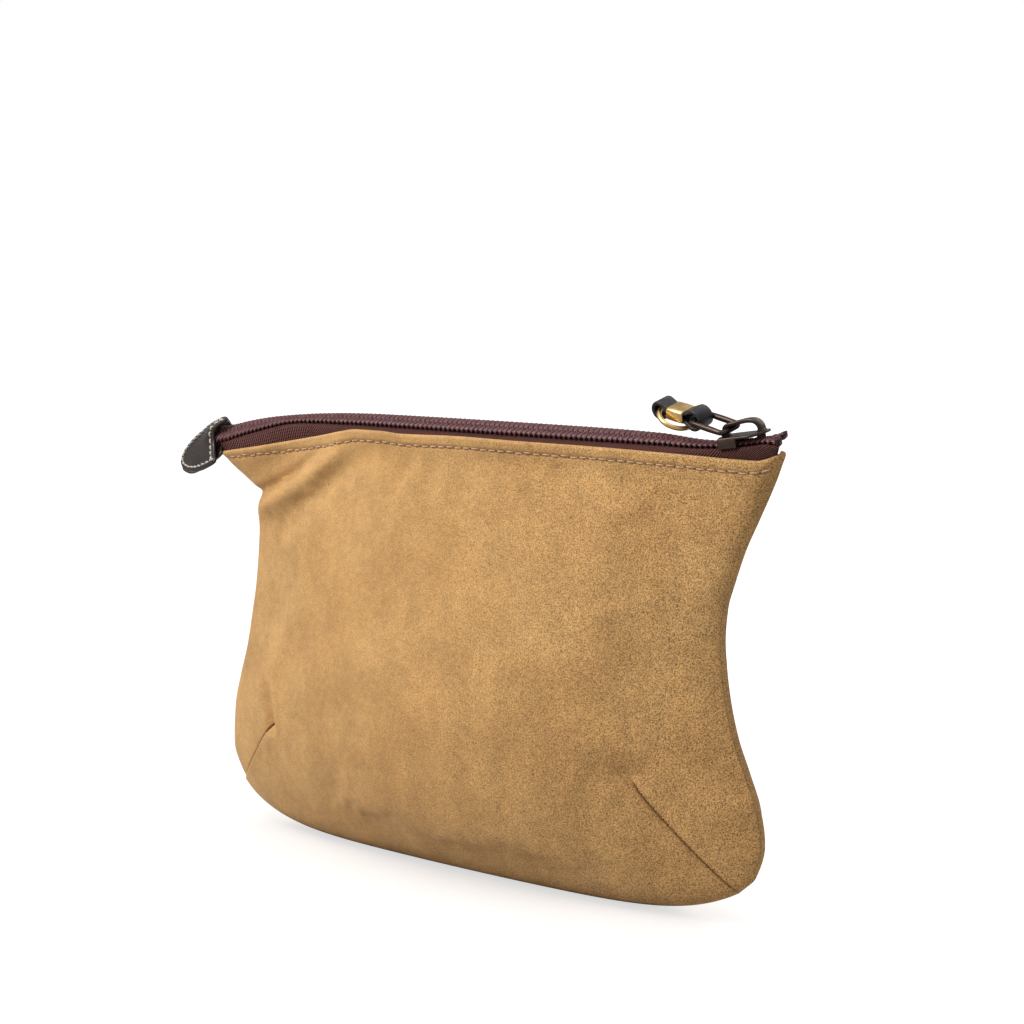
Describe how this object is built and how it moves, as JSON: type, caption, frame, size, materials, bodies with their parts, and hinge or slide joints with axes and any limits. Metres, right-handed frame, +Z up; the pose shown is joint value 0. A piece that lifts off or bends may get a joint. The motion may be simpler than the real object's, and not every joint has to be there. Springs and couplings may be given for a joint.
{
  "type": "clutch purse",
  "caption": "Suede zip-top clutch purse with darted corners, a coil zip, a leather pull with a band and ring, and a stitched leather tab on the closed end of the zip.",
  "frame": {"origin": "on the surface the purse stands on, under the middle of the bottom seam, in the plane of the side seams", "axes": "+X along the zip towards the closed-position slider, -Y out of the front panel, +Z up"},
  "size_m": [0.2841, 0.06, 0.1922],
  "materials": {
    "suede": "napped matt",
    "lining": "plain woven, matt",
    "topstitch_thread": "twisted thread",
    "zip_tape": "twill woven tape",
    "zip_coil": "moulded nylon coil",
    "bronze": "antique bronze plating",
    "dark_leather": "smooth, semi-gloss",
    "gold": "polished gold plating",
    "tab_thread": "twisted thread"
  },
  "bodies": {
    "bag": {"back_panel": "suede", "back_lining": "lining", "back_topstitch": "topstitch_thread", "back_tape": "zip_tape", "back_coil": "zip_coil", "back_top_stop": "bronze"},
    "front_half": {"front_panel": "suede", "front_lining": "lining", "front_topstitch": "topstitch_thread", "front_tape": "zip_tape", "front_coil": "zip_coil", "front_top_stop": "bronze"},
    "zip_end": {"zip_end_tape": "zip_tape", "zip_end_coil": "zip_coil"},
    "end_tab": {"tab_front_leaf": "dark_leather", "tab_back_leaf": "dark_leather", "tab_tape_end": "zip_tape", "bottom_stop": "bronze", "tab_stitching": "tab_thread"},
    "slider": {"slider_body": "bronze", "slider_bridge": "bronze"},
    "link": {"pull_link": "bronze"},
    "strap": {"pull_strap": "dark_leather", "pull_band": "gold"},
    "ring": {"pull_ring": "gold"}
  },
  "joints": [
    {"name": "zip_slide", "type": "slide", "parent": "bag", "child": "slider", "axis": [-1, 0, 0], "range_m": [0, 0.2]},
    {"name": "mouth_open", "type": "hinge", "parent": "bag", "child": "front_half", "pos_m": [0, 0, 0], "axis": [1, 0, 0], "range_deg": [0, 14], "deforming": ["front_tape", "front_coil"]},
    {"name": "zip_end_lift", "type": "hinge", "parent": "bag", "child": "zip_end", "pos_m": [-0.085, 0, 0.177], "axis": [0, 1, 0], "range_deg": [0, 12]},
    {"name": "tab_swing", "type": "hinge", "parent": "zip_end", "child": "end_tab", "pos_m": [-0.13022, 0, 0.16744], "axis": [-0.1857, 0.7425, 0.6436], "range_deg": [-20, 25]},
    {"name": "link_lift", "type": "hinge", "parent": "slider", "child": "link", "pos_m": [0.1098, -0.00165, 0.18209], "axis": [0.2756, 0.9142, 0.297], "range_deg": [0, 120]},
    {"name": "strap_lift", "type": "hinge", "parent": "link", "child": "strap", "pos_m": [0.09549, 0.00168, 0.18509], "axis": [0.2756, 0.9142, 0.297], "range_deg": [0, 55]},
    {"name": "ring_swing", "type": "hinge", "parent": "strap", "child": "ring", "pos_m": [0.08017, 0.00543, 0.18778], "axis": [0.2756, 0.9142, 0.297], "range_deg": [0, 130]}
  ],
  "couplings": [
    {"joint": "mouth_open", "follows": "zip_slide", "rad_per_m": 1.221},
    {"joint": "zip_end_lift", "follows": "zip_slide", "rad_per_m": 1.047},
    {"joint": "ring_swing", "follows": "link_lift", "ratio": 1.08}
  ]
}
